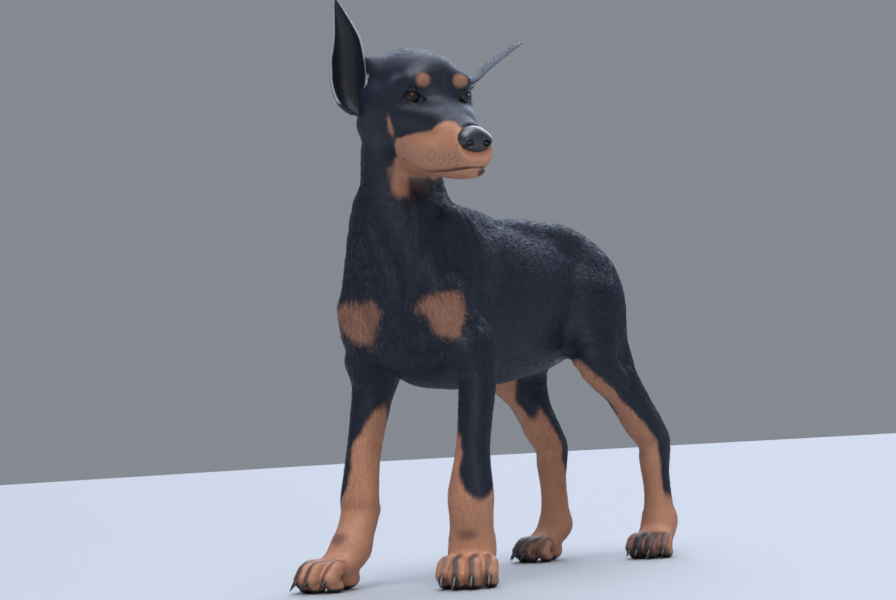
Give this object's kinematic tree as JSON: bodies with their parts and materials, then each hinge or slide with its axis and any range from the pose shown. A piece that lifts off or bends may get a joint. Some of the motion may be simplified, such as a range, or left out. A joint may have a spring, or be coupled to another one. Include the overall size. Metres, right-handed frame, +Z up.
{
  "type": "dog, doberman pinscher puppy",
  "caption": "Life-size standing black-and-tan pinscher puppy with cropped ears, its head turned to its left.",
  "frame": {"origin": "on the floor, at the middle of the standing puppy's box", "axes": "+Z up; the trunk faces -Y and the puppy's left side is +X"},
  "size_m": [0.2305, 0.429, 0.5341],
  "materials": {
    "black_coat": "short, flat, glossy black fur with a bluish sheen",
    "tan_coat": "short, flat, rust-tan fur",
    "ear_skin": "thin ear, black velvet fur outside and sparse dark fur inside",
    "nose_leather": "moist, finely pebbled black nose skin",
    "eye_brown": "wet dark brown eye",
    "nail_horn": "smooth black horn"
  },
  "bodies": {
    "root": {"torso": "black_coat", "neck": "black_coat", "head": "black_coat", "tail": "black_coat", "ear_left": "ear_skin", "eye_left": "eye_brown", "foreleg_left": "tan_coat", "hindleg_left": "tan_coat", "forepaw_left": "tan_coat", "hindpaw_left": "tan_coat", "ear_right": "ear_skin", "eye_right": "eye_brown", "foreleg_right": "tan_coat", "hindleg_right": "tan_coat", "forepaw_right": "tan_coat", "hindpaw_right": "tan_coat", "nose": "nose_leather", "nail_fore_left_1": "nail_horn", "nail_fore_left_2": "nail_horn", "nail_fore_left_3": "nail_horn", "nail_fore_left_4": "nail_horn", "nail_fore_right_1": "nail_horn", "nail_fore_right_2": "nail_horn", "nail_fore_right_3": "nail_horn", "nail_fore_right_4": "nail_horn", "nail_hind_left_1": "nail_horn", "nail_hind_left_2": "nail_horn", "nail_hind_left_3": "nail_horn", "nail_hind_left_4": "nail_horn", "nail_hind_right_1": "nail_horn", "nail_hind_right_2": "nail_horn", "nail_hind_right_3": "nail_horn", "nail_hind_right_4": "nail_horn"}
  },
  "joints": []
}
